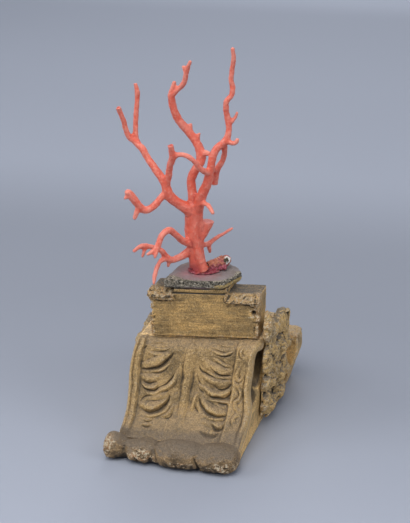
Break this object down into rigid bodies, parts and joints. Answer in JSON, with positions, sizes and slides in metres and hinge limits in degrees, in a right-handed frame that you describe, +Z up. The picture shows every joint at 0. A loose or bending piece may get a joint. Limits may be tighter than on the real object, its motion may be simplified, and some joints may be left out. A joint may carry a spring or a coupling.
{
  "type": "mounted red coral branch",
  "caption": "Branch of red coral set in red wax on a fragment of a carved and gilt wooden console.",
  "frame": {"origin": "on the resting face, straight below the foot of the coral", "axes": "+Z up along the coral's trunk, -Y out of the console's leaf-carved front, +X to the right of someone facing that front"},
  "size_m": [0.1284, 0.1685, 0.3017],
  "materials": {
    "coral": "satin orange-red coral with fine lengthwise lines, paler at the tips",
    "crust": "rough grainy sea-bed crust, orange, magenta and white",
    "wax": "dark red sealing wax, satin",
    "shelf": "grey dusty wood with a chipped gilt and black edge",
    "gilding": "worn old gilding over gesso and red-brown clay, dusty on top"
  },
  "bodies": {
    "root": {"coral_trunk": "coral", "coral_left_branch": "coral", "coral_inner_twig": "coral", "coral_left_low_branch": "coral", "coral_centre_branch": "coral", "coral_right_branch": "coral", "coral_low_arm": "coral", "coral_low_sweep": "coral", "coral_back_twig": "coral", "foot_crust": "crust", "wax_pool": "wax", "cornice_slab": "shelf", "top_block": "gilding", "console_scroll": "gilding", "right_garland": "gilding", "left_garland": "gilding", "back_board": "gilding"}
  },
  "joints": []
}
